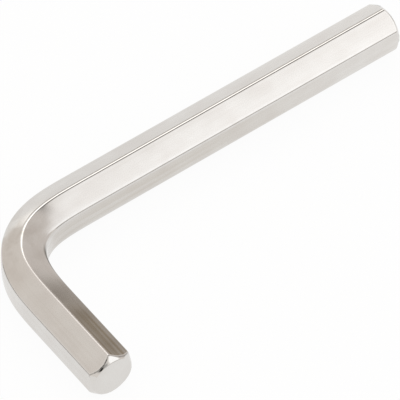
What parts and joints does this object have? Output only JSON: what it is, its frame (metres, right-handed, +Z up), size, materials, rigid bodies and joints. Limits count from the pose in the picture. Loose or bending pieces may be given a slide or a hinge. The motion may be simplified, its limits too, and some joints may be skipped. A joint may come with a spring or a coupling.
{
  "type": "hex key",
  "caption": "L-shaped hexagon key bent from one bar of nickel-plated steel, with softly rounded edges and turned chamfers at both tips, for driving hexagon socket screws.",
  "frame": {"origin": "centre of the outline seen from above, at the height of the surface the key lies on", "axes": "+X along the long arm towards its tip, -Y along the short arm towards its tip, +Z up, square to the plane of the bend"},
  "size_m": [0.1085, 0.047, 0.0113],
  "materials": {
    "nickel_plate": "satin nickel plating over steel, fine lengthwise drawing marks"
  },
  "bodies": {
    "root": {"hex_key": "nickel_plate"}
  },
  "joints": []
}
